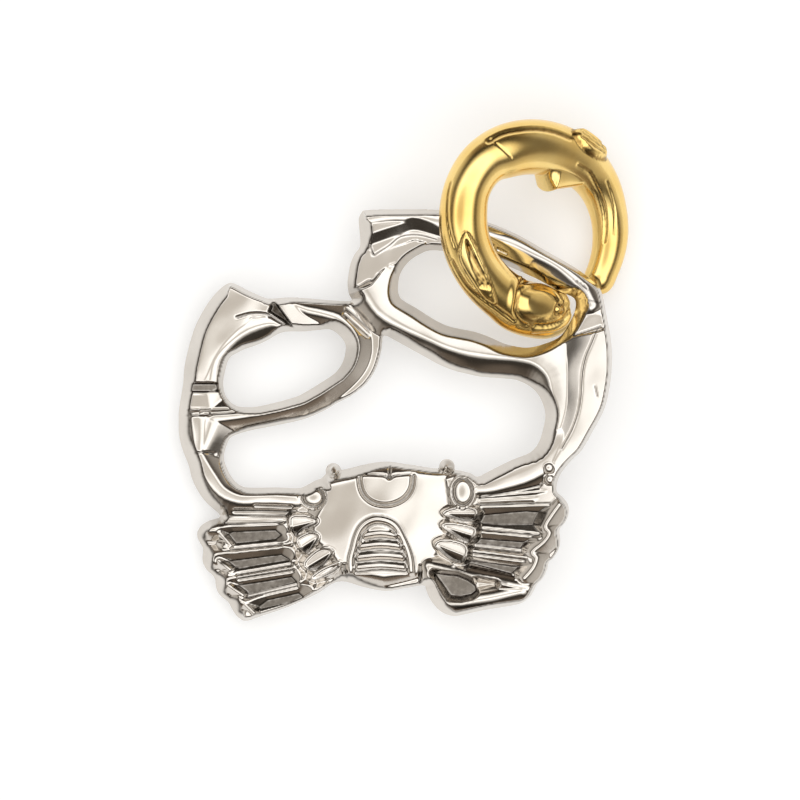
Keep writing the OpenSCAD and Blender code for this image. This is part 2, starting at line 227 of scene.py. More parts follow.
class Relief:
    """Heights above a plane at points (x, y), raised and cut by strokes, with painted shade darkening
    grooves, crease lines and sunk floors.
    """

    def __init__(self, x, y, base):
        self.x, self.y = x, y
        self.z = np.full(len(x), float(base))
        # painted shade: how far the colour at each point is darkened toward the metal's shade colour
        self.painted_shade = np.zeros(len(x))

    def ridge(self, points, slopes, gentle=0.08, soft=0.55, reach=4.5, spans=3):
        """A bar's face along points [x, y, height, left width, right width]: gentle out to
        those widths and then falling by slopes (left, right)."""
        dist, side, more = near(self.x, self.y, smooth(points, spans), reach)
        left = side > 0
        width = np.where(left, more[:, 1], more[:, 2])
        slope = np.where(left, slopes[0], slopes[1])
        drop = hinge_drop(dist - width, soft) - hinge_drop(-width, soft)
        top = more[:, 0] - gentle * dist - slope * drop
        self.z = np.where(dist < reach, np.maximum(self.z, top), self.z)

    def crest(self, points, half, height, spans=3):
        """A rounded bead, added along points."""
        dist = near(self.x, self.y, smooth(points, spans), half)[0]
        self.z = self.z + height * hump(dist / half)

    def groove(self, points, half, deep, spans=3, dark=.85):
        """A V-shaped groove along points, with painted shade darkening its bottom."""
        dist = near(self.x, self.y, smooth(points, spans), half)[0]
        self.z = self.z - deep * np.clip(1 - dist / half, 0, 1)
        # painted shade along the bottom of the groove
        self.painted_shade = np.maximum(self.painted_shade, dark * np.clip(1.15 - 1.8 * dist / half, 0, 1))

    def level(self, height):
        """A height that is one number, or a plane [a, b, c] for a + bx + cy."""
        return height if np.isscalar(height) else height[0] + height[1] * self.x + height[2] * self.y

    def sink(self, loop, floor, slope, soft=0.12, dark=0.0, spread=.1):
        """A sunk panel with sloping sides, and a floor that may be darkened with painted shade, darkest
        along its edge.
        """
        reach = 2.5
        out = -depth(self.x, self.y, np.asarray(loop, float), reach)
        cut = lower_of(self.z, self.level(floor) + slope * np.maximum(out, 0), soft)
        self.z = np.where(out < reach, cut, self.z)
        # painted shade on the floor, and when dark is given a darker painted band round the floor's edge
        self.painted_shade = np.maximum(self.painted_shade, dark * np.clip(1 - (out - spread + .2) / .3, 0, 1))
        if dark:
            self.painted_shade = np.maximum(self.painted_shade, .97 * hump(np.clip((out - .05) / .3, -1, 1)))

    def fall(self, path, side, top, low, slope, reach):
        """On one side of the path the surface falls from top to low."""
        dist, where, _ = near(self.x, self.y, smooth(path), reach)
        level = np.maximum(top - slope * dist, low)
        self.z = np.where((dist < reach) & (where == side), np.minimum(self.z, level), self.z)

    def plate(self, loop, top, slope, reach=3.0):
        """A raised plate with sloping sides."""
        out = -depth(self.x, self.y, np.asarray(loop, float), reach)
        rise = self.level(top) - slope * hinge_drop(out, .25)
        self.z = np.where(out < reach, np.maximum(self.z, rise), self.z)

    def knob(self, x, y, wide, tall):
        """A low oval dome inside a seam darkened with painted shade, and a thin collar."""
        share = np.hypot((self.x - x) / wide, (self.y - y) / tall)
        away = (share - 1) * min(wide, tall)
        seam = hump(np.clip((away - .16) / .2, -1, 1))
        collar = hump(np.clip((away - .45) / .3, -1, 1))
        dome = KNOB_TOP + .24 * (1 - share ** 2) - 2.4 * hinge_drop(away, .08)
        rise = np.maximum(dome, 2.4 + .5 * collar)
        self.z = np.where(away < .6, rise, self.z)
        # painted shade in the seam round the dome
        self.painted_shade = np.where(away < .6, .85 * seam, self.painted_shade)

    def leaf(self, rim, axis):
        """A small petal: a thin raised outline round two facets that meet along its axis, the lower facet
        darkened with painted shade.
        """
        out = -depth(self.x, self.y, rim, 1.2)
        fold, side, _ = near(self.x, self.y, np.asarray(axis, float), 3.0)
        below = side * (axis[1][0] - axis[0][0]) < 0
        slope = np.where(below, PETAL_SLOPES[1], PETAL_SLOPES[0])
        rise = PETAL_TOP - slope * fold - 1.4 * hinge_drop(out, .15)
        self.z = np.where(out < 1.2, np.where(out < 0, rise, np.maximum(self.z, rise)), self.z)
        # painted shade: the lower facet darkens away from the fold
        shade = .8 * np.clip((fold - .15) / .3, 0, 1)
        self.painted_shade = np.where(out < 0, np.where(below, shade, 0), self.painted_shade)
        self.crest(np.vstack([rim, rim[:1]]), .3, .4, spans=1)

    def ball(self, x, y, radius, centre):
        """A ball with its centre at that height."""
        square = radius ** 2 - (self.x - x) ** 2 - (self.y - y) ** 2
        self.z = np.where(square > 0, np.maximum(self.z, centre + np.sqrt(np.maximum(square, 0))), self.z)


# ---------- crab: the front ----------


def claw_left(r):
    """The left claw: a thick finger, and a thin one that laps over its end."""
    # thick finger: a broad flat face, and a rounded side toward the loop
    r.plate([(-24.7, 12.3), (-25.3, 11), (-26.3, 9.7), (-27.2, 8.3), (-28, 6.8), (-28.8, 4), (-29.7, 1),
             (-30.8, -1.6), (-31.2, -5), (-27.2, -5), (-27.6, -1.6), (-27.3, 0), (-26.6, 2), (-25.3, 3.8),
             (-24, 5), (-22.3, 6.6), (-21.3, 8.2), (-19.1, 8.2), (-18.6, 9.2), (-18.6, 10.3), (-22, 11.5),
             (-24, 12.5)], [3.15, .012, .008], .52)
    r.crest([(-29.5, 1), (-28.0, 5.5), (-25.2, 9.4), (-22.5, 10.8)], 4.6, .36)
    r.ridge([(-27.0, -1, 3.1, .5, .3), (-26.3, 1.8, 3.0, .4, .2), (-24.6, 4.0, 3.0, .4, .25),
             (-21.5, 6.2, 3.1, .4, .25), (-18.6, 7.0, 3.0, .3, .2), (-16.8, 6.5, 2.9, .15, .15),
             (-15.5, 6.1, 2.8, .1, .1)], (.3, .55))
    r.groove([(-23.2, 7.85), (-21.3, 8.35), (-19.1, 8.3), (-17.3, 7.3), (-15.5, 6.3)], .3, .25)
    # lap of the thin finger: a bright flat beside the end of the thick one
    r.plate([(-18.0, 10.6), (-16.6, 10.6), (-11.1, 6.3), (-15.1, 5.9)], [.65, -.15, 0], .9)
    # the hollow between the two, its floor darkened with painted shade
    r.sink([(-18.5, 10.4), (-18.2, 10.3), (-17.2, 8.9), (-15.3, 6.3), (-16.5, 7.3), (-18.6, 8.7),
            (-18.3, 9.3)], 1.8, 5.0, dark=.9)
    # thin finger back under the arm
    r.ridge([(-16.2, 10.0, 2.7, .1, .2), (-14.8, 9.5, 2.85, .2, .4), (-13.2, 8.9, 2.95, .3, .5),
             (-11.2, 8.4, 3.0, .4, .4), (-9.2, 7.8, 3.1, .5, .4),
             (-7.6, 6.6, 3.15, .35, .5), (-6.7, 5.0, 3.2, .3, .5), (-6.6, 3.2, 3.2, .3, .5),
             (-7.2, 1.5, 3.2, .3, .45), (-8.4, 0, 3.2, .3, .4), (-10.2, -1.6, 3.15, .35, .3),
             (-12.2, -2.8, 3.15, .45, .3), (-15, -4.1, 3.1, .55, .3), (-18, -4.9, 3.1, .6, .3),
             (-22, -5.6, 3.1, .6, .3), (-26.5, -6.0, 3.1, .8, .4)], (.85, .6), soft=.35)
    for shift in (0.0, 0.9, 1.7):
        r.groove([(-7.6 - shift * .3, 9.9 - shift), (-5.8 - shift * .3, 8.3 - shift),
                  (-4.4 - shift * .3, 6.9 - shift)], .3, .35)


def wrist_left(r):
    """The folds where the left claw meets its arm."""
    # painted shade on the floor of the first fold
    r.sink([(-30.6, -1.5), (-26.2, -1.5), (-26.1, -2.5), (-30.9, -2.5)], 2.45, 1.6, dark=.55)
    r.sink([(-31.4, -2.9), (-25.2, -2.9), (-24.8, -4.8), (-31.6, -4.8)], [4.6, .06, .06], 2.0)
    r.groove([(-31.2, -5.1), (-28, -5.15), (-24.5, -5.1)], .26, .3)
    r.groove([(-30.8, -5.95), (-27, -5.7), (-24, -5.5), (-20.5, -5.05)], .22, .2)


def arm_left(r):
    """The left arm, a rounded bar down to its knob, and the strip below it."""
    r.ridge([(-28.5, -6.5, 3.1, .6, 1.2), (-28.5, -9, 3.15, .5, 1.0), (-28.4, -11.0, 3.2, .2, 1.0),
             (-27.5, -12.7, 3.2, .1, 1.3), (-26.5, -14.3, 3.2, .1, 1.4), (-25.2, -16.1, 3.2, .1, 1.2),
             (-23.2, -17.15, 3.15, .1, .9), (-21, -17.3, 3.1, .1, .8),
             (-18, -17.25, 3.05, .1, .8), (-15, -17.4, 3.0, .1, .8)], (.8, .5), soft=.3)
    r.ridge([(-26.9, -7.0, 3.1, .6, .6), (-27.6, -9.2, 3.05, .5, .6), (-28.2, -10.8, 3.0, .3, .6)], (.5, .3))
    r.groove([(-29.8, -11.3), (-28.1, -11.05), (-26.5, -11.3)], .22, .2)
    r.groove([(-20.8, -18.55), (-18.5, -18.65), (-15.7, -18.7)], .3, .3)
    r.groove([(-23.7, -19.3), (-19, -19.3), (-15.2, -19.5)], .5, .3)


def claw_right(r):
    """The right claw: the upper bar with its hooked tip, and the lower finger that meets it."""
    # upper bar: a bright edge and a long slope toward the loop
    r.ridge([(-4.6, 21.7, 3.1, .5, .6), (-1, 22.0, 3.1, .4, .4), (3.5, 21.7, 3.05, .5, .6),
             (8, 20.7, 3.0, .6, .4), (12, 19.2, 3.0, .5, .3), (15, 18.3, 3.0, .4, .3),
             (18, 16.9, 3.0, .4, .3),
             (21, 15.4, 3.0, .4, .3), (23.2, 13.9, 3.0, .4, .3), (25.2, 12.0, 3.0, .4, .4),
             (26.4, 9.5, 3.0, .6, .5)], (.7, .5), soft=.35)
    r.ridge([(-4.9, 21.9, 3.05, .3, .4), (-4.5, 19.3, 3.0, .3, .4), (-3.9, 17.0, 2.8, .3, .4)], (.6, .5))
    # lower finger, round to the lap
    r.ridge([(-5.4, 12.6, 3.0, 1.0, 1.4), (-4.6, 11.2, 3.1, 1.0, 1.0),
             (-3, 8.9, 3.1, .8, .9), (0, 6.9, 3.1, .5, .6), (4, 4.9, 3.1, .5, .5),
             (8, 3.4, 3.1, .5, .5), (12, 2.7, 3.1, .45, .5), (16, 2.2, 3.05, .6, .4),
             (18.6, 1.5, 3.0, 1.2, .4), (20.3, 0, 2.9, 1.6, .4), (21, -2.2, 2.8, 1.6, .4),
             (21.2, -5, 2.8, 1.6, .4), (20.7, -8, 2.85, 1.6, .4), (19.6, -10.6, 2.95, 1.4, .4),
             (16.5, -12.6, 3.0, 1.2, .4)], (.2, .6), soft=.7)
    r.plate([(-5.2, 21), (-4.2, 16), (2, 17.5), (6, 17), (8, 18.5), (5, 21)], 2.9, .5)
    # lap of the lower finger under the hooked tip
    r.plate([(-7.6, 11.6), (-8, 13.5), (-7, 16.5), (-5.4, 17.8), (-2, 17.5), (3, 18), (2, 16.8),
             (-3, 13.4)], 2.1, .8)
    r.fall([(-4.7, 19.75), (-2.5, 20.5), (-1, 21), (1.5, 21.8), (4.8, 21.1), (9, 19.6), (12, 18.2)],
           -1, 3.05, 2.1, .52, 3.2)
    r.sink([(-4, 16.4), (-1.7, 18), (0, 19.0), (2.2, 19.2), (6, 18.3), (9, 17.3), (9, 15.8), (3.5, 16.3),
            (1.1, 16.1), (-1.7, 15.3), (-3.1, 14.2), (-4.6, 12.8), (-7.6, 11.6), (-8.8, 13.5), (-7.6, 16.5),
            (-6, 18), (-5.2, 18)], [2.4, .06, -.012], 1.6)
    r.groove([(-7.4, 11.8), (-6, 12.2), (-4.8, 12.9), (-4.2, 12.9), (-3.3, 13.9)], .25, .2)
    r.groove([(-5.3, 21.5), (-4.9, 19.7), (-4.15, 16.6)], .25, .15)
    r.groove([(-4.0, 16.5), (-1.8, 17.9), (-.2, 19.1), (2.2, 19.35), (4.8, 18.7)], .25, .1)


def palm_right(r):
    """The right arm and the broad palm above it."""
    # arm, as one rounded bar
    r.ridge([(9.6, -15.8, 2.9, .6, .9), (12.5, -15.2, 3.0, .6, 1.2), (16.4, -13.9, 3.05, .9, 1.5),
             (20.1, -11.9, 3.1, 1.2, 1.6), (22.3, -9.4, 3.1, 1.2, 1.2)], (.5, .7), gentle=.05, soft=.5)
    # palm: two facets that meet along one line
    crest = [(27.3, 6.2, 3.3, 0, 0), (26.5, 4.2, 3.3, 0, 0), (25.7, 2.3, 3.3, 0, 0), (25.2, 0, 3.3, 0, 0),
             (25, -3, 3.3, 0, 0), (24.6, -5.5, 3.3, 0, 0), (23.7, -8, 3.3, 0, 0), (22.3, -10.5, 3.2, 0, 0),
             (21.3, -12.3, 3.1, 0, 0)]
    r.ridge(crest, (.17, .42), gentle=0, soft=.5, reach=6.5)
    r.groove([row[:2] for row in crest[:-1]], .22, .12)
    # base of the upper bar
    r.sink([(21.8, 4.6), (24, 5.2), (26.5, 6), (29.6, 6.6), (28.7, 9.7), (25.5, 10.2), (24, 9.4),
            (22.3, 6.6)], [.95, .05, .03], 1.6)
    r.groove([(22.2, 4.8), (24, 5.25), (26.5, 6.05), (27.7, 6.5)], .25, .15)
    r.groove([(24.2, 9.0), (25.5, 10.2), (27.5, 9.8)], .25, .2)
    r.groove([(26.9, -1.8), (27.1, -2.6), (27.2, -3.2)], .2, .12)
    # knots where the arm meets the legs
    r.ball(20.5, -13.2, 1.0, 2.4)
    r.ball(20.6, -14.8, .9, 2.3)
    r.ridge([(11, -17.3, 2.5, .1, .1), (20.0, -16.4, 2.5, .1, .1)], (.9, .9), reach=2, spans=1)


def belly(r):
    """The belly plate, with the mouth and the striped apron."""
    x, y = BELLY_CENTRE
    crown = PLATE_TOP - BELLY_CROWN * (np.square(r.x - x) + np.square(r.y - y))
    face = [(-10.5, -15.6), (-8, -15), (-5, -14.3), (-2, -14.05), (2, -14.1), (5, -14.4), (7, -14.3),
            (5.9, -15.6), (6.2, -18), (6.4, -19.5), (6.2, -21.3), (5.2, -24), (3.6, -26.8), (2.4, -27.9),
            (-2.7, -28.6), (-8.3, -27.8), (-8.9, -26.6), (-10.2, -24.8), (-12.2, -23.2), (-12.4, -21),
            (-11.3, -19), (-10.8, -16)]
    out = -depth(r.x, r.y, np.asarray(face, float), 3.0)
    r.z = np.where(out < 3.0, np.maximum(r.z, crown - .78 * hinge_drop(out, .3)), r.z)
    # mouth: a U-shaped groove, with the lip and its slit between the ends
    u = [(-6.0, -14.6), (-5.8, -16), (-5.2, -17.2), (-4, -18.1), (-2.3, -18.4), (-.8, -18.1), (.5, -17.3),
         (1.3, -16), (1.5, -14.4)]
    r.groove(u, .5, .5, dark=.6)
    r.groove([(-1.8, -12.9), (-1.8, -14.6)], .28, .35)
    r.groove([(-5.4, -14.1), (-2.6, -14.3), (-1.8, -14.75), (-1.0, -14.3), (1.1, -14.1)], .26, .3)
    # apron: a raised arch round a panel of steps
    arch = [(-7.3, -27.8), (-7.3, -26), (-6.9, -24.5), (-6.5, -23), (-5.9, -21.7), (-5.1, -20.9),
            (-4.2, -20.45), (-3.3, -20.35), (-2.1, -20.6), (-1.2, -21.1), (-.6, -21.8), (0, -23),
            (.6, -24.4), (1.05, -26), (1.2, -27.8)]
    middle = APRON_MIDDLE
    inner = [(middle + (x - middle) * .84, -27.6 + (y + 27.6) * .9) for x, y in arch]
    outer = [(middle + (x - middle) * 1.12, -27.9 + (y + 27.9) * 1.07) for x, y in arch]
    r.crest(arch, .6, .26)
    r.groove(inner, .3, .22, dark=.6)
    r.groove(outer, .26, .12, dark=.5)
    for y, half in ((-22.4, 2.2), (-23.95, 2.8), (-25.5, 3.2), (-27.0, 3.4)):
        r.crest([(middle - half, y - .2), (middle, y + .1), (middle + half, y - .2)], .55, .3)
        r.groove([(middle - half, y - .9), (middle, y - .6), (middle + half, y - .9)], .3, .22, dark=.7)
    # notches at the foot of the plate
    r.groove([(-8.2, -26.8), (-7.95, -29.2)], .35, .5)
    r.groove([(2.45, -27.0), (2.3, -29.4)], .35, .5)


def collars(r):
    """The two arm joints: a pad and an oval knob on each."""
    r.plate([(-15, -16.3), (-13, -15.8), (-11.2, -16.5), (-10.8, -17.9), (-11, -19), (-12, -19.5),
             (-14.9, -19.8)], 2.5, 1.4)
    r.plate([(6.0, -14.8), (7.5, -14.3), (10.1, -14.9), (10.3, -18.6), (6.6, -18.7)], 2.5, 1.4)
    for knob in KNOBS:
        r.knob(*knob)


# [root, tip, crest height, crest half width] of each leg's crest line
CRESTS = [
    [(-16.5, -20.3), (-26.0, -20.4), 2.3, .25], [(-17, -21.7), (-27.2, -21.95), 3.0, .3],
    [(-16.5, -23.2), (-25.2, -24.35), 2.75, .15], [(-16, -25.0), (-27.0, -25.9), 3.0, .35],
    [(-15.3, -28.2), (-25.0, -29.3), 3.0, .35], [(-15.5, -27.2), (-24.6, -28.3), 2.6, .15],
    [(-13.2, -30.3), (-22.9, -32.0), 2.9, .35], [(-11.5, -30.4), (-22.0, -34.0), 2.6, .3],
    [(10.8, -18.0), (21.2, -17.2), 2.4, .5], [(10.8, -19.4), (20.9, -19.0), 3.0, .3],
    [(10.2, -22.4), (19.6, -22.9), 3.0, .35], [(9.4, -21.2), (19.6, -21.4), 2.4, .3],
    [(9.2, -24.7), (18.1, -24.9), 2.6, .3], [(9, -25.7), (18.0, -26.4), 3.0, .35],
    [(7, -27.4), (16.8, -28.4), 2.7, .35],
]
# sunk panels between the crests, with the height of each floor
PANELS = [
    ([(-25, -22.9), (-24, -22.4), (-18, -22.1), (-17.3, -22.7), (-18, -23.2), (-23.5, -23.85)], 1.7),
    ([(-25.6, -26.6), (-17.2, -25.6), (-16.2, -26.2), (-23, -27.4)], 1.7),
    ([(-23.8, -30), (-15.8, -28.7), (-15.2, -29.3), (-21.8, -31)], 1.7),
    ([(-20.9, -33.3), (-19.2, -32), (-14.8, -31), (-14, -31.7)], 1.4),
    ([(10.6, -20), (17.3, -19.4), (20.0, -19.6), (19.3, -21.1), (14, -21.2), (10.2, -20.9)], 1.5),
    ([(10, -23.2), (17.3, -23.8), (16.4, -24.4), (10.2, -23.8)], 1.5),
    ([(8.6, -26.3), (16.2, -27.2), (14.9, -28.0), (9, -26.9)], 1.5),
]
# grooves along the legs
LEG_LINES = [
    [(-26.0, -20.0), (-16.5, -19.95)], [(-25.8, -21.2), (-17, -20.9)], [(-24.2, -24.8), (-17.2, -24.1)],
    [(-23.4, -28.35), (-15.8, -27.0)], [(-23.2, -28.85), (-15.3, -27.6)], [(-22.2, -31.6), (-15, -29.9)],
    [(10.6, -17.4), (19.4, -15.6)], [(10.5, -18.4), (20.6, -18.1)], [(9.9, -21.8), (19, -22.7)],
    [(9.3, -24.3), (16.6, -25.1)], [(9.2, -25.1), (17.2, -26.1)], [(8.3, -27.0), (15.5, -28.5)],
    [(4.4, -26.7), (14.5, -29.3)], [(7.3, -32.9), (12.5, -32.2)],
]
# ridges across the legs' ends on the left
END_FACES = [
    [(-25.9, -22.3), (-24.3, -24.2)], [(-26.0, -26.3), (-24.4, -27.6)], [(-24.6, -29.8), (-22.6, -31.2)],
    [(-22.4, -32.4), (-21.0, -33.7)],
]
# the wavy bead along the legs' ends on the right
FEET = [(21.9, -18.4), (21.0, -19.6), (19.9, -21.4), (20.5, -22.3), (19.7, -23.6), (18.1, -25.0),
        (18.7, -25.8), (18.2, -27.2), (17.0, -28.6)]
# [outline, axis] of each petal beside the body
LEAVES = [
    ([(-15.9, -20.3), (-14.3, -19.8), (-12.6, -20.1), (-11.8, -20.5), (-12.3, -21.2), (-13.9, -21.9),
      (-15.2, -22.8)], [(-15.4, -21.4), (-11.8, -20.5)]),
    ([(-14.9, -23.5), (-14.2, -22.7), (-12.8, -22.2), (-11.7, -22.7), (-12.3, -24.0), (-13.5, -25.3)],
     [(-14.1, -24.2), (-11.7, -22.7)]),
    ([(-13.9, -26.6), (-12.3, -24.9), (-10.9, -24.4), (-9.8, -24.8), (-10, -25.6), (-11.2, -27),
      (-12.9, -27.7)], [(-13.4, -27), (-9.8, -24.8)]),
    ([(-12.8, -28.5), (-11.5, -27.5), (-9.8, -26.7), (-8.8, -26.5), (-9.2, -27.4), (-10.6, -28.2),
      (-12.3, -28.9)], [(-12.5, -28.7), (-8.8, -26.5)]),
    ([(5.6, -19.5), (7.6, -18.7), (10.2, -18.9), (10.3, -20.3), (9.2, -20.8), (7.3, -20.4)],
     [(10.2, -19.6), (5.6, -19.5)]),
    ([(5.5, -21.3), (6.8, -20.9), (9.9, -21.5), (10.2, -22.4), (9.2, -23.7), (7.3, -22.7)],
     [(9.9, -22.6), (5.5, -21.3)]),
    ([(4.5, -23.8), (5.9, -23.2), (8.3, -23.7), (9.1, -24.7), (8.4, -26.5), (6.9, -26.2), (5.4, -25)],
     [(8.8, -25.5), (4.5, -23.8)]),
]
# [bar, slopes] of the three bars of the rear leg
REAR_LEG = [
    ([(3.6, -26.9, 2.9, .3, .3), (13.8, -29.4, 2.8, .3, .3), (17.2, -30.1, 2.6, .4, .4)], (.9, .9)),
    ([(3.5, -27, 2.9, .4, .4), (4.4, -29.4, 2.9, .4, .4), (5.4, -31.8, 2.9, .4, .4)], (.8, .8)),
    ([(5.4, -31.9, 2.9, .4, .3), (8, -32.1, 2.9, .4, .3), (16.5, -30.5, 2.7, .4, .3)], (.8, .6)),
]


def legs(r):
    """Four legs and a strip on each side, as crests with sunk panels between them."""
    for root, tip, height, half in CRESTS:
        r.ridge([(*root, height, half, half), (*tip, height - .25, half, half)], (.85, .85),
                gentle=.1, soft=.35, reach=2.2, spans=1)
    # painted shade on the panel floors and along the leg grooves
    for loop, floor in PANELS:
        r.sink(loop, floor, .66, dark=FLOOR_DARK, spread=.2)
    for line in LEG_LINES:
        r.groove(line, .34, .35, dark=.95)
    for line in END_FACES:
        r.ridge([(*line[0], 2.6, .1, .1), (*line[1], 2.5, .1, .1)], (1.2, 1.2), soft=.15, reach=1.5, spans=1)
    r.ridge([(*at, 3.0, .2, .2) for at in FEET], (.9, .9), soft=.25, reach=1.8)
    # rear leg: three bars round a sunk triangle whose floor is darkened with painted shade
    for bar, slopes in REAR_LEG:
        r.ridge(bar, slopes, reach=2.2)
    r.sink([(4.4, -28.1), (6.6, -31.2), (8, -31.3), (9.5, -31), (10.1, -30.5), (10, -29.8), (9, -29.1),
            (7.5, -28.5), (5.5, -28.3)], 1.0, 2.2, dark=.6, spread=.3)
    r.sink([(10.2, -29.3), (12.8, -29.6), (10.4, -30)], 1.2, 1.6)


def leaves(r):
    """The petals between the belly plate and the legs."""
    for outline, axis in LEAVES:
        r.leaf(smooth(outline, 3, True), axis)


# ---------- crab: mesh ----------


def crab_outline(x, y):
    """Depth inside the crab's outline, in mm, up to 4."""
    reach = 4.0
    inner = depth(x, y, smooth(OUTER, 3, True), reach)
    for loop in (LEFT_LOOP, RIGHT_LOOP, MIDDLE_LOOP):
        inner = np.minimum(inner, -depth(x, y, smooth(loop, 3, True), reach))
    for ex, ey, radius in EYES:
        inner = np.maximum(inner, radius - np.hypot(x - ex, y - ey))
    return inner


def wall(inner, turn, rise):
    """Height of the drafted side wall."""
    return rise * inner / (WALL_WIDTH * turn)


def front(x, y, inner, turn):
    """Height and painted shade of the front, inside a side wall that leans in by turn."""
    r = Relief(x, y, LEG_FLOOR)
    legs(r)
    arm_left(r)
    palm_right(r)
    claw_left(r)
    claw_right(r)
    wrist_left(r)
    belly(r)
    leaves(r)
    collars(r)
    r.z = r.z + ripple(x, y)
    side = wall(inner, turn, EDGE_RISE)
    top = lower_of(side, r.z, SHOULDER)
    # painted shade: a dark line along the shoulder where the side wall meets the face, and the face's
    # painted shade kept off the wall
    shoulder = CREASE_DARK * np.exp(-np.square((side - r.z) / CREASE_WIDTH))
    on_face = np.clip((side - r.z + .4) / .3, 0, 1)
    painted_shade = np.maximum(r.painted_shade * on_face, shoulder)
    for ex, ey, radius in EYES:
        square = radius ** 2 - (x - ex) ** 2 - (y - ey) ** 2
        eye = square > 0
        painted_shade = np.where(eye, 0, painted_shade)
        cone = EYE_SLOPE * (radius + .12 - np.sqrt((x - ex) ** 2 + (y - ey) ** 2 + .03))
        top = np.where(eye & (r.z < 1.9), cone, top)
    return np.maximum(top, LEAST_HEIGHT), painted_shade


def ripple(x, y):
    """The soft unevenness of a polished casting."""
    waves = ((.9, .5, .3), (-.6, 1.1, 1.7), (1.3, -.4, 2.9), (.35, .75, 4.1))
    return RIPPLE * sum(np.sin(a * x + b * y + c) for a, b, c in waves) / 2


def back(x, y, inner):
    """Depth below the parting plane, and the painted shade of the grooves, of the back."""
    in_legs = np.clip((-18.6 - y) / 1.2, 0, 1) * np.clip(np.abs(x + 2.5) - 9, 0, 1)
    r = Relief(x, y, 0)
    r.z = BACK_RISE + (BACK_LEG_RISE - BACK_RISE) * in_legs
    cx, cy, hx, hy, hz = SHELL
    square = 1 - ((x - cx) / hx) ** 2 - ((y - cy) / hy) ** 2
    dome = hz * np.sqrt(np.maximum(square, 0))
    r.z = -lower_of(-r.z, -dome, .5)
    for root, tip, height, _ in CRESTS:
        if height > MAIN_LEG:
            r.crest([root, tip], 1.2, .35, 1)
    r.groove([(-13.5, -18.5), (-10, -15.7), (cx, -13.9), (5, -15.3), (8.8, -17.6)], .5, .25)
    for side in (-1, 1):
        r.groove([(cx + side * 2.2, -17.5), (cx + side * 3.2, -20), (cx + side * 2.4, -22.8),
                  (cx + side * 3.6, -26)], .5, .22)
    edge = wall(inner, 1.0, BACK_EDGE_RISE)
    return np.maximum(lower_of(edge, r.z, BACK_SHOULDER), LEAST_HEIGHT), r.painted_shade


def cells(node, j, i):
    """The square faces of the grid at rows j and columns i."""
    return np.stack([node[j, i], node[j, i + 1], node[j + 1, i + 1], node[j + 1, i]], 1)


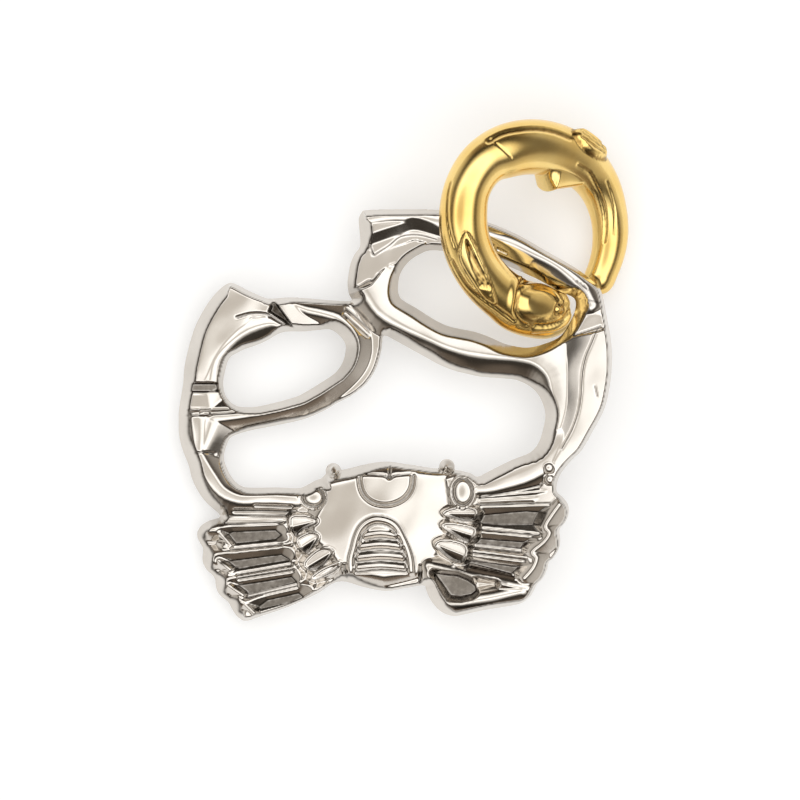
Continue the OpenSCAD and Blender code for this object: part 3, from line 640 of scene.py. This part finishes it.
def crab_mesh():
    """Vertices (mm, on the crab's own plane), faces, painted shade and the flag of the parting line."""
    outer = np.asarray(OUTER)
    xs = np.arange(outer[:, 0].min() - 3 * STEP, outer[:, 0].max() + 3 * STEP, STEP)
    ys = np.arange(outer[:, 1].min() - 3 * STEP, outer[:, 1].max() + 3 * STEP, STEP)
    gx, gy = np.meshgrid(xs, ys)
    shape = gx.shape
    inner = crab_outline(gx.ravel(), gy.ravel()).reshape(shape)
    slope_y, slope_x = np.gradient(inner, STEP)
    turn = np.maximum(WALL_BASE + WALL_TURN[0] * slope_x + WALL_TURN[1] * slope_y, WALL_LEAST)
    beside = -depth(gx.ravel(), gy.ravel(), smooth(RIGHT_LOOP, 3, True), 3.0).reshape(shape)
    turn = np.where(beside < 2.4, np.maximum(turn, RIGHT_LOOP_WALL), turn)
    solid = inner > 0
    node = np.full(shape, -1)
    node[solid] = np.arange(solid.sum())
    vx, vy = [gx[solid]], [gy[solid]]
    count = int(solid.sum())

    def crossings(a, b, dx, dy):
        """Where the outline crosses the grid edges from a to b."""
        nonlocal count
        cut = solid[a] != solid[b]
        ids = np.full(cut.shape, -1)
        ids[cut] = count + np.arange(cut.sum())
        share = np.clip(inner[a][cut] / (inner[a][cut] - inner[b][cut]), .12, .88) * STEP
        vx.append(gx[a][cut] + dx * share)
        vy.append(gy[a][cut] + dy * share)
        count += int(cut.sum())
        return ids

    every = slice(None)
    across = crossings((every, slice(None, -1)), (every, slice(1, None)), 1, 0)
    up = crossings((slice(None, -1), every), (slice(1, None), every), 0, 1)
    full = solid[:-1, :-1] & solid[:-1, 1:] & solid[1:, :-1] & solid[1:, 1:]
    some = (solid[:-1, :-1] | solid[:-1, 1:] | solid[1:, :-1] | solid[1:, 1:]) & ~full
    edge_faces = []
    for j, i in np.argwhere(some):
        corners = ((j, i), (j, i + 1), (j + 1, i + 1), (j + 1, i))
        cuts = (across[j, i], up[j, i + 1], across[j + 1, i], up[j, i])
        face = []
        for corner, cut in zip(corners, cuts):
            if solid[corner]:
                face.append(int(node[corner]))
            if cut >= 0:
                face.append(int(cut))
        edge_faces.append(face)
    jj, ii = np.nonzero(full)
    quads = cells(node, jj, ii)
    # the back takes the same cells, four at a time where all four are whole
    rows, cols = full.shape[0] // 2 * 2, full.shape[1] // 2 * 2
    block = (full[0:rows:2, 0:cols:2] & full[1:rows:2, 0:cols:2]
             & full[0:rows:2, 1:cols:2] & full[1:rows:2, 1:cols:2])
    taken = np.zeros_like(full)
    taken[:rows, :cols] = np.repeat(np.repeat(block, 2, 0), 2, 1)
    back_faces = [list(f) for f in edge_faces]
    jj, ii = np.nonzero(full & ~taken)
    back_faces += cells(node, jj, ii).tolist()
    wide = np.pad(block, 1)
    for j, i in np.argwhere(block):
        y, x = 2 * j, 2 * i
        face = [node[y, x]]
        if not wide[j, i + 1]:
            face.append(node[y, x + 1])
        face.append(node[y, x + 2])
        if not wide[j + 1, i + 2]:
            face.append(node[y + 1, x + 2])
        face.append(node[y + 2, x + 2])
        if not wide[j + 2, i + 1]:
            face.append(node[y + 2, x + 1])
        face.append(node[y + 2, x])
        if not wide[j + 1, i]:
            face.append(node[y + 1, x])
        back_faces.append([int(k) for k in face])
    px, py = np.concatenate(vx), np.concatenate(vy)
    held = int(solid.sum())
    rim = np.arange(held, count)
    top, top_dark = front(px[:held], py[:held], inner[solid], turn[solid])
    low, low_dark = back(px[:held], py[:held], inner[solid])
    # back copies of the inner vertices come after the rim
    back_id = np.concatenate([count + np.arange(held), rim])
    verts = np.zeros((count + held, 3))
    verts[:count, 0], verts[:count, 1] = px, py
    verts[:held, 2] = top
    # painted shade of the front, none on the rim, then the back's
    dark = np.concatenate([top_dark, np.zeros(count - held), low_dark])
    verts[count:, 0], verts[count:, 1], verts[count:, 2] = px[:held], py[:held], -low
    faces = edge_faces + quads.tolist() + [[int(back_id[k]) for k in reversed(f)] for f in back_faces]
    used = np.zeros(len(verts), bool)
    used[np.concatenate([np.asarray(f) for f in faces])] = True
    new = np.cumsum(used) - 1
    faces = [[int(new[k]) for k in f] for f in faces]
    on_rim = np.zeros(len(verts), bool)
    on_rim[rim] = True
    return verts[used], faces, dark[used], on_rim[used]


def lay(verts, matrix):
    """The same vertices in the frame, in metres."""
    m = np.array(matrix)
    return (verts @ m[:3, :3].T + m[:3, 3]) * MM


def crab_place():
    """From the crab's parting plane to the object's frame, in mm."""
    stand = Matrix.Translation(STAND)
    side = Matrix.Rotation(math.radians(-LEAN_SIDE), 4, "Y")
    lean = side @ Matrix.Rotation(math.radians(LEAN_FRONT), 4, "X")
    return Matrix.Translation(TO_MIDDLE) @ stand @ lean @ Matrix.Translation((-STAND[0], -STAND[1], 0))


def make_piece(name, verts, faces, dark=None, sharp=None):
    """A mesh object, smooth but for the edges between sharp vertices, and carrying the painted shade for its
    material where given.
    """
    mesh = bpy.data.meshes.new(name)
    mesh.from_pydata(verts.tolist(), [], faces)
    mesh.update()
    mesh.polygons.foreach_set("use_smooth", [True] * len(mesh.polygons))
    # painted shade amount per vertex, read by the material to darken the colour
    if dark is not None:
        attribute = mesh.attributes.new("painted_shade", "FLOAT", "POINT")
        attribute.data.foreach_set("value", dark.astype(np.float32))
    if sharp is not None:
        ends = np.zeros(len(mesh.edges) * 2, np.int64)
        mesh.edges.foreach_get("vertices", ends)
        both = sharp[ends].reshape(-1, 2).all(1)
        attribute = mesh.attributes.new("sharp_edge", "BOOLEAN", "EDGE")
        attribute.data.foreach_set("value", both)
    piece = bpy.data.objects.new(name, mesh)
    bpy.context.scene.collection.objects.link(piece)
    return piece


def crab():
    """The silver casting."""
    verts, faces, dark, rim = crab_mesh()
    placed = lay(verts, crab_place())
    placed[:, 2] = np.maximum(placed[:, 2], 0)
    return make_piece("crab_casting", placed, faces, dark, rim)


# ---------- fish ring ----------

# [angle round the ring, distance from its centre, radius of the body], snout to tail
FISH = [
    (-69.5, 12.1, .36), (-73, 12.0, .72), (-81, 11.6, .91), (-91, 11.2, .95), (-103, 10.85, .93),
    (-118, 10.2, .86), (-140, 9.85, .84), (-165, 9.9, .83), (-190, 10.35, .82), (-212, 11.15, .79),
    (-232, 11.7, .82), (-250, 11.6, .92), (-275, 11.5, .94), (-300, 11.35, .88), (-320, 11.1, .76),
    (-343, 10.75, .66), (-367, 10.75, .61), (-388, 11.05, .55), (-401, 11.55, .54), (-407, 11.8, .46),
]
RING_STATIONS = 470
RING_SIDES = 112
SNOUT_ROUND = 1.0
TAIL_ROUND = 2.6
RADIAN_MM = 3.7 * math.pi / 180


def ring_place():
    """From the ring's own plane to the object's frame, in mm."""
    turn = Matrix.Rotation(math.radians(RING_DOWNHILL), 4, "Z")
    lean = Matrix.Rotation(math.radians(RING_LEAN), 4, "Y")
    return Matrix.Translation(TO_MIDDLE) @ Matrix.Translation(RING_CENTRE) @ turn @ lean


def ring_path():
    """Stations at equal steps: plan angle in degrees, centre (x, y) in the ring's plane, radius."""
    rows = smooth(FISH, 12)
    angle = np.radians(rows[:, 0] - RING_DOWNHILL)
    x = rows[:, 1] * np.cos(angle) / math.cos(math.radians(RING_LEAN))
    y = rows[:, 1] * np.sin(angle)
    run = np.concatenate([[0], np.cumsum(np.hypot(np.diff(x), np.diff(y)))])
    at = np.linspace(0, run[-1], RING_STATIONS)
    return [np.interp(at, run, v) for v in (rows[:, 0], x, y, rows[:, 2] * HEAD_RADIUS)] + [at]


def fins(along, around, s_of):
    """Heights of the fins, in unrolled coordinates: mm along the body and degrees round it.
    s_of gives the mm along the body for an angle in plan."""
    up = np.degrees(around)
    r = Relief(along, up * RADIAN_MM, 0)
    # back fin: an oval pad with three stripes, on the outside
    mid = s_of(-298)
    pad = np.hypot((along - mid) / 2.6, (up - 44) / 29)
    r.z = np.maximum(r.z, .85 * np.clip((1.15 - pad) * 3.0, 0, 1))
    # painted shade: a dark ring round the edge of the pad
    r.painted_shade = np.where(np.abs(pad - 1.08) < .09, .75, r.painted_shade)
    for turn in (34, 45, 56):
        r.groove([(mid - 1.9, (turn - 4) * RADIAN_MM), (mid, (turn + 2) * RADIAN_MM),
                  (mid + 1.9, (turn - 4) * RADIAN_MM)], .28, .35)
    # inner fin: a flat tooth that points to the middle of the ring
    tip = s_of(-285)
    reach = np.where(along > tip, s_of(-262) - tip, s_of(-294) - tip)
    rise = np.clip(1 - np.abs((along - tip) / reach), 0, 1)
    thick = np.clip((44 - np.abs(up - 180)) / 18, 0, 1)
    r.z = np.maximum(r.z, 2.1 * rise ** .8 * thick)
    return r.z, r.painted_shade


def scales(x, y):
    """Heights of what shows from above, in plan."""
    r = Relief(x, y, 0)
    # head: gill, cheek, eye, brow and mouth
    cheek = np.hypot((x - 18.9) / 3.0, (y - 9.55) / 2.25)
    r.z = np.maximum(r.z, .42 * np.clip(1.12 - cheek, 0, .45) / .45)
    # painted shade: a dark line round the cheek
    r.painted_shade = np.where(np.abs(cheek - 1.1) < .05, .6, r.painted_shade)
    r.groove([(16.4, 13.0), (15.9, 11.8), (15.5, 10.1), (15.3, 8.3), (16.1, 7.0), (17.0, 6.5)], .34, .34)
    r.crest([(15.4, 12.8), (15.0, 10.4), (14.8, 8.4), (15.3, 6.9)], .7, .12)
    r.crest([(16.3, 13.2), (18.6, 13.7), (20.6, 12.9), (22.0, 11.5), (22.9, 9.7)], .62, .34)
    r.groove([(16.4, 12.5), (18.8, 12.9), (20.8, 11.9), (22.1, 10.2)], .28, .28)
    r.crest([(16.6, 11.9), (19, 12.2), (21.0, 11.2), (22.0, 9.9)], .42, .2)
    r.groove([(18.2, 6.5), (19.6, 6.5), (21, 6.8), (22.2, 7.5), (22.9, 8.6)], .3, .4)
    r.crest([(17.9, 5.8), (19.8, 5.9), (21.4, 6.2), (22.6, 7.0), (23.2, 8.0)], .45, .22)
    eye = np.hypot(x - 21.6, y - 8.75)
    r.z = r.z + .3 * hump(eye / .62) - .2 * hump((eye - .78) / .26)
    # painted shade: a dark ring round the eye
    r.painted_shade = np.where(np.abs(eye - .78) < .15, .7, r.painted_shade)
    # side fin: a folded blade with ribs
    blade = [(8.4, 19.4), (9.6, 17.6), (11.2, 14.0), (12.5, 10.6), (12.6, 9.5), (11.2, 10.1), (9.3, 12.7),
             (7.9, 15.0), (7.6, 16.8)]
    edge = depth(x, y, smooth(blade, 3, True), 1.0)
    r.z = r.z + .34 * np.clip((edge + .12) / .3, 0, 1)
    # painted shade: a dark line along the blade's edge
    r.painted_shade = np.where(np.abs(edge + .05) < .12, .7, r.painted_shade)
    for k in range(4):
        t = k / 3
        r.groove([(8.5 + .45 * t, 18.2 - .9 * t), (9.1 + 1.0 * t, 15.4 - .4 * t),
                  (10.6 + 1.2 * t, 12.0 - .2 * t)], .24, .3)
    r.ball(11.9, 10.6, .75, -.35)
    # lines of the mould: round the outside, across the body and along the inner edge
    # these grooves are darkened with painted shade along their bottoms
    r.groove([(11.6, 31.9), (13.3, 32.9), (15.1, 33.4), (18.2, 33.75), (20.9, 33.4), (23.1, 32.6)], .5, .3)
    r.groove([(11.6, 32.4), (13.2, 31.1), (14.8, 29.6)], .16, .1, dark=.5)
    r.groove([(6.4, 26.2), (6.0, 24.3), (5.95, 21.3), (6.4, 18.9), (7.0, 17.2)], .22, .14, dark=.5)
    r.groove([(6.6, 15.3), (7.8, 13.1), (9.4, 11.2), (12.8, 8.9), (15.2, 7.2)], .3, .26)
    r.groove([(24.2, 28.9), (25.7, 28.0), (26.8, 26.1), (27.7, 24.3), (28.2, 22.4), (28.3, 20.1),
              (28.1, 18.4)], .3, .24, dark=.7)
    r.groove([(28.3, 26.8), (28.9, 25.1), (29.4, 23.2), (29.5, 21.3), (29.4, 19.3)], .2, .12, dark=.5)
    return r.z, r.painted_shade


def ring():
    """The gold casting, a body swept round the ring with its ends closed."""
    angle, cx, cy, radius, at = ring_path()
    for gap, length in ((at, SNOUT_ROUND), (at[-1] - at, TAIL_ROUND)):
        radius = radius * np.sqrt(np.clip(1 - (1 - np.clip(gap / length, 0, 1)) ** 2, .03, 1))
    dx, dy = np.gradient(cx), np.gradient(cy)
    size = np.hypot(dx, dy)
    turn = np.linspace(0, 2 * math.pi, RING_SIDES, endpoint=False)
    cos = np.tile(np.cos(turn), (RING_STATIONS, 1))
    sin = np.tile(np.sin(turn), (RING_STATIONS, 1))
    out = np.stack([-dy[:, None] / size[:, None] * cos, dx[:, None] / size[:, None] * cos, sin], 2)
    middle = np.stack([cx, cy, 0 * cx], 1)[:, None, :]
    matrix = np.array(ring_place())
    base = ((middle + out * radius[:, None, None]) @ matrix[:3, :3].T + matrix[:3, 3]).reshape(-1, 3)
    out = (out @ matrix[:3, :3].T).reshape(-1, 3)
    around = np.tile(turn, RING_STATIONS)
    along = np.repeat(at, RING_SIDES)
    fin, fin_dark = fins(along, around, lambda a: np.interp(-a, -angle, at))
    mark, mark_dark = scales(base[:, 0] - TO_MIDDLE[0], base[:, 1] - TO_MIDDLE[1])
    seen = np.clip(out[:, 2] / .25, 0, 1)
    verts = base + out * (fin + mark * seen)[:, None]
    # painted shade from the fins, and from the marks on the upper side
    dark = np.maximum(fin_dark, mark_dark * seen)
    n = RING_SIDES
    faces = []
    for j in range(RING_STATIONS - 1):
        a, b = j * n, (j + 1) * n
        for k in range(n):
            m = (k + 1) % n
            faces.append([a + k, a + m, b + m, b + k])
    ends = np.array([verts[:n].mean(0), verts[-n:].mean(0)])
    last = (RING_STATIONS - 1) * n
    for k in range(n):
        m = (k + 1) % n
        faces.append([len(verts), m, k])
        faces.append([len(verts) + 1, last + k, last + m])
    return make_piece("fish_casting", np.vstack([verts, ends]) * MM, faces, np.append(dark, [0, 0]))


# ---------- looks ----------


def noise(nodes, scale, detail):
    texture = nodes.new("ShaderNodeTexNoise")
    texture.inputs["Scale"].default_value = scale
    texture.inputs["Detail"].default_value = detail
    return texture


def metal(name, light, dark, painted_shade, rough, grain):
    """Polished cast metal: a drifting tint, uneven polish, faint ripples and a mottled painted shade."""
    mat = bpy.data.materials.new(name)
    mat.use_nodes = True
    nodes, links = mat.node_tree.nodes, mat.node_tree.links
    shader = nodes["Principled BSDF"]
    shader.inputs["Metallic"].default_value = 1.0
    place = nodes.new("ShaderNodeTexCoord")
    tint = noise(nodes, 160, 4)
    ramp = nodes.new("ShaderNodeValToRGB")
    ramp.color_ramp.elements[0].position = .3
    ramp.color_ramp.elements[0].color = (*dark, 1)
    ramp.color_ramp.elements[1].position = .65
    ramp.color_ramp.elements[1].color = (*light, 1)
    polish = noise(nodes, 420, 6)
    spread = nodes.new("ShaderNodeMapRange")
    spread.inputs["To Min"].default_value = rough[0]
    spread.inputs["To Max"].default_value = rough[1]
    ripple = noise(nodes, grain, 3)
    bump = nodes.new("ShaderNodeBump")
    bump.inputs["Strength"].default_value = .25
    bump.inputs["Distance"].default_value = .00006
    # the painted shade amount, mottled by noise, mixes the base colour toward the shade colour
    painted_shade_amount = nodes.new("ShaderNodeAttribute")
    painted_shade_amount.attribute_name = "painted_shade"
    patches = noise(nodes, 1400, 5)
    patchy = nodes.new("ShaderNodeMapRange")
    patchy.inputs["From Min"].default_value = .3
    patchy.inputs["From Max"].default_value = .6
    patchy.inputs["To Min"].default_value = .8
    patchy.inputs["To Max"].default_value = 1.05
    cover = nodes.new("ShaderNodeMath")
    cover.operation = "MULTIPLY"
    cover.use_clamp = True
    mix = nodes.new("ShaderNodeMix")
    mix.data_type = "RGBA"
    mix.inputs["B"].default_value = (*painted_shade, 1)
    links.new(patches.outputs["Fac"], patchy.inputs["Value"])
    links.new(patchy.outputs["Result"], cover.inputs[0])
    links.new(painted_shade_amount.outputs["Fac"], cover.inputs[1])
    links.new(cover.outputs["Value"], mix.inputs["Factor"])
    links.new(ramp.outputs["Color"], mix.inputs["A"])
    links.new(mix.outputs["Result"], shader.inputs["Base Color"])
    for texture in (tint, polish, ripple, patches):
        links.new(place.outputs["Object"], texture.inputs["Vector"])
    links.new(tint.outputs["Fac"], ramp.inputs["Fac"])
    links.new(polish.outputs["Fac"], spread.inputs["Value"])
    links.new(spread.outputs["Result"], shader.inputs["Roughness"])
    links.new(ripple.outputs["Fac"], bump.inputs["Height"])
    links.new(bump.outputs["Normal"], shader.inputs["Normal"])
    return mat


def floor():
    """A plain pale floor."""
    size = 4.0
    verts = np.array([(-size, -size, 0), (size, -size, 0), (size, size, 0), (-size, size, 0)])
    piece = make_piece("floor", verts, [[0, 1, 2, 3]])
    mat = bpy.data.materials.new("floor")
    mat.use_nodes = True
    shader = mat.node_tree.nodes["Principled BSDF"]
    shader.inputs["Base Color"].default_value = (.66, .66, .655, 1)
    shader.inputs["Emission Color"].default_value = (1, 1, 1, 1)
    shader.inputs["Emission Strength"].default_value = .42
    shader.inputs["Roughness"].default_value = .9
    shader.inputs["Specular IOR Level"].default_value = .1
    piece.data.materials.append(mat)


# [height of the direction, colour]. Overhead: the dim patch round the lens, then a wide soft box.
# Below it a dark gap and a warm dim room in front and behind, and pale screens on both sides.
FRONT_AND_BACK = [
    (0.0, (.30, .24, .19)), (.30, (.18, .145, .115)), (.42, (.05, .042, .034)), (.56, (.055, .048, .04)),
    (.67, (.75, .73, .70)), (.80, (2.0, 2.0, 2.0)), (.93, (1.75, 1.75, 1.75)), (.985, (1.6, 1.6, 1.58)),
    (1.0, (1.5, 1.5, 1.48)),
]
SIDES = [
    (0.0, (.80, .77, .73)), (.30, (.55, .52, .48)), (.45, (.16, .14, .12)), (.58, (.12, .11, .10)),
    (.69, (1.0, .98, .95)), (.81, (2.0, 2.0, 2.0)), (.93, (1.75, 1.75, 1.75)), (.985, (1.6, 1.6, 1.58)),
    (1.0, (1.5, 1.5, 1.48)),
]
# a dim panel in the soft box, a little to the left of overhead, between two angles from its middle
PANEL_TOWARD = (-.27, -.06, .96)
PANEL_EDGE = (1.0, 24.0)
PANEL_COLOUR = (.88, .84, .785)


def studio():
    """The soft light from all round."""
    world = bpy.data.worlds.new("studio")
    bpy.context.scene.world = world
    world.use_nodes = True
    nodes, links = world.node_tree.nodes, world.node_tree.links
    place = nodes.new("ShaderNodeTexCoord")
    split = nodes.new("ShaderNodeSeparateXYZ")
    links.new(place.outputs["Generated"], split.inputs["Vector"])
    mix = nodes.new("ShaderNodeMix")
    mix.data_type = "RGBA"
    for stops, socket in ((FRONT_AND_BACK, "A"), (SIDES, "B")):
        ramp = nodes.new("ShaderNodeValToRGB")
        ramp.color_ramp.interpolation = "EASE"
        elements = ramp.color_ramp.elements
        while len(elements) < len(stops):
            elements.new(.5)
        for element, (height, colour) in zip(elements, stops):
            element.position = height
            element.color = (*colour, 1)
        links.new(split.outputs["Z"], ramp.inputs["Fac"])
        links.new(ramp.outputs["Color"], mix.inputs[socket])
    across = nodes.new("ShaderNodeMath")
    across.operation = "ABSOLUTE"
    links.new(split.outputs["X"], across.inputs[0])
    spread = nodes.new("ShaderNodeMapRange")
    spread.interpolation_type = "SMOOTHSTEP"
    spread.inputs["From Min"].default_value = .35
    spread.inputs["From Max"].default_value = .75
    links.new(across.outputs["Value"], spread.inputs["Value"])
    links.new(spread.outputs["Result"], mix.inputs["Factor"])
    toward = nodes.new("ShaderNodeVectorMath")
    toward.operation = "DOT_PRODUCT"
    toward.inputs[1].default_value = Vector(PANEL_TOWARD).normalized()
    links.new(place.outputs["Generated"], toward.inputs[0])
    panel = nodes.new("ShaderNodeMapRange")
    panel.interpolation_type = "SMOOTHSTEP"
    panel.inputs["From Min"].default_value = math.cos(math.radians(PANEL_EDGE[1]))
    panel.inputs["From Max"].default_value = math.cos(math.radians(PANEL_EDGE[0]))
    links.new(toward.outputs["Value"], panel.inputs["Value"])
    shaded = nodes.new("ShaderNodeMix")
    shaded.data_type = "RGBA"
    shaded.inputs["B"].default_value = (*PANEL_COLOUR, 1)
    links.new(panel.outputs["Result"], shaded.inputs["Factor"])
    links.new(mix.outputs["Result"], shaded.inputs["A"])
    links.new(shaded.outputs["Result"], nodes["Background"].inputs["Color"])


VIEW_CENTRE = (-0.50, -4.02, 8.0)
VIEW_DISTANCE = 700.0
VIEW_WIDTH = 111.9
SENSOR = 36.0


def camera():
    """A long lens straight above."""
    data = bpy.data.cameras.new("camera")
    data.sensor_width = SENSOR
    data.lens = SENSOR * VIEW_DISTANCE / VIEW_WIDTH
    data.clip_start = .01
    eye = bpy.data.objects.new("camera", data)
    eye.location = [c * MM for c in VIEW_CENTRE]
    eye.location.z += VIEW_DISTANCE * MM
    bpy.context.scene.collection.objects.link(eye)
    bpy.context.scene.camera = eye


# the fourth colour of each metal is its painted shade colour
silver = metal("bright_silver", (.675, .635, .585), (.60, .56, .51), (.030, .021, .013), (.08, .16), 260)
gold = metal("bright_gold", (.93, .69, .27), (.86, .58, .18), (.16, .07, .012), (.13, .22), 240)

crab_piece = crab()
crab_piece.data.materials.append(silver)
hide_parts("crab")
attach(crab_piece, "crab")

ring_piece = ring()
ring_piece.data.materials.append(gold)
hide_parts("fish_ring")
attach(ring_piece, "ring")

floor()
studio()
camera()
bpy.context.scene.view_settings.view_transform = "Standard"
